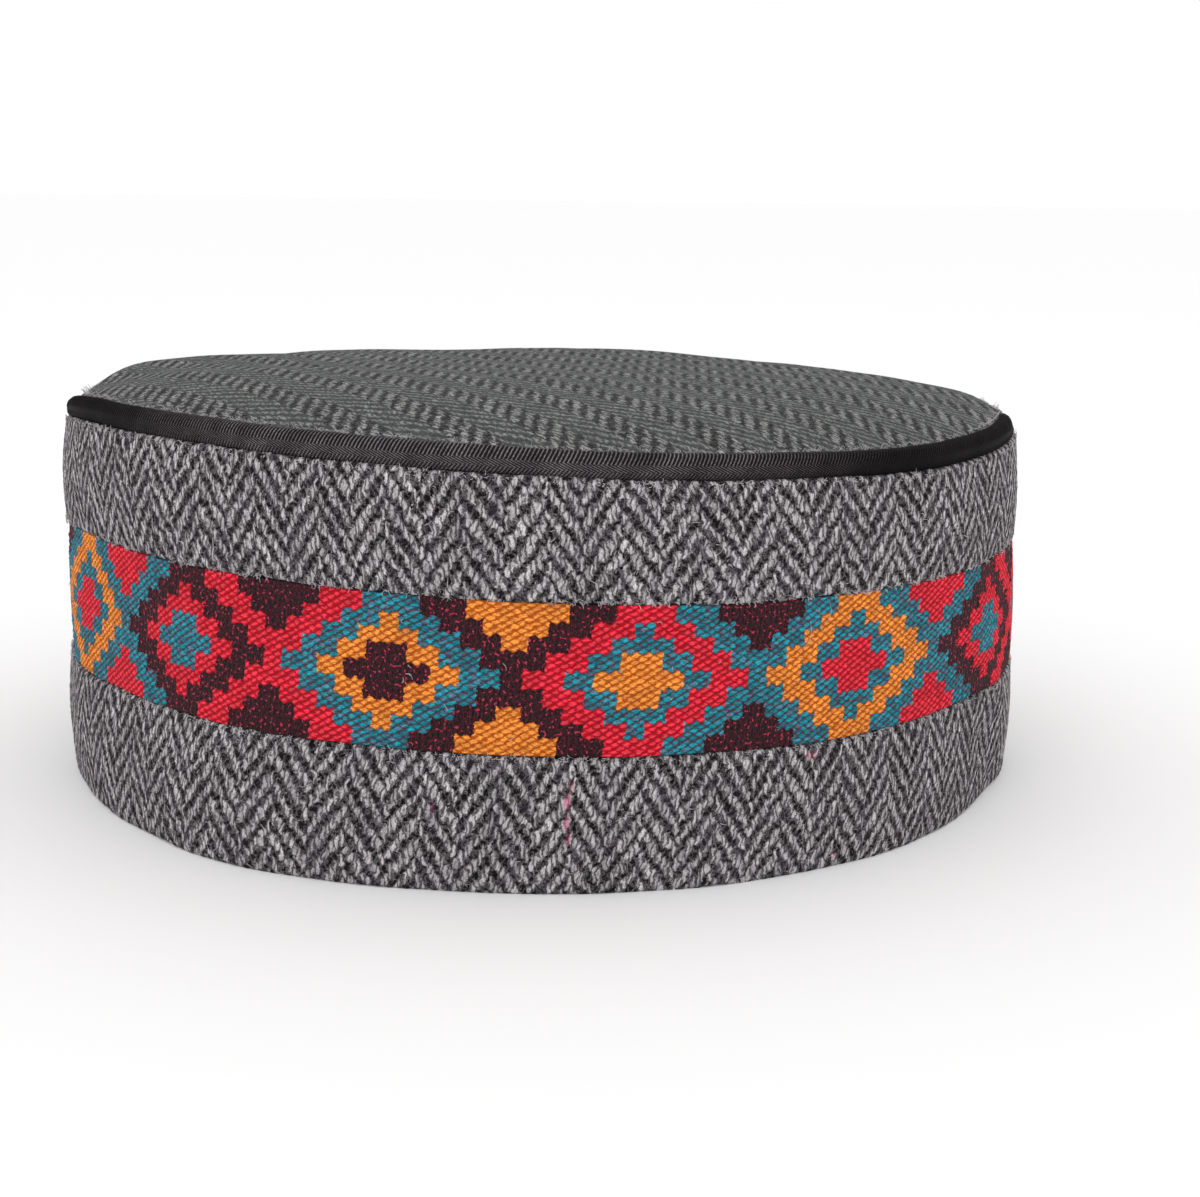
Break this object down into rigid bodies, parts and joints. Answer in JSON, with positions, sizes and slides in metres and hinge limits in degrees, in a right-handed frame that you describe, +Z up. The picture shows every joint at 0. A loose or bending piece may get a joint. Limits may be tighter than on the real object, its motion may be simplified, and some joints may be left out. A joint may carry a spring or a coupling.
{
  "type": "kullu cap",
  "caption": "Round flat-topped wool cap: grey herringbone tweed wall and crown, black binding round the top edge and a woven band of stepped diamonds.",
  "frame": {"origin": "on the surface the cap stands on, under the middle of its box", "axes": "+Z up from the hem to the crown; the front that the picture shows faces -Y; +X is to the right in the picture"},
  "size_m": [0.1906, 0.192, 0.0793],
  "materials": {
    "grey_tweed": "herringbone wool tweed, light grey over charcoal, matt and slightly fuzzy",
    "patterned_weave": "woven wool band of stepped diamonds in red, teal, orange and dark maroon",
    "black_binding": "black ribbed twill binding with a faint sheen"
  },
  "bodies": {
    "root": {"lower_strip": "grey_tweed", "patterned_band": "patterned_weave", "upper_strip": "grey_tweed", "crown_binding": "black_binding", "crown_top": "grey_tweed"}
  },
  "joints": []
}
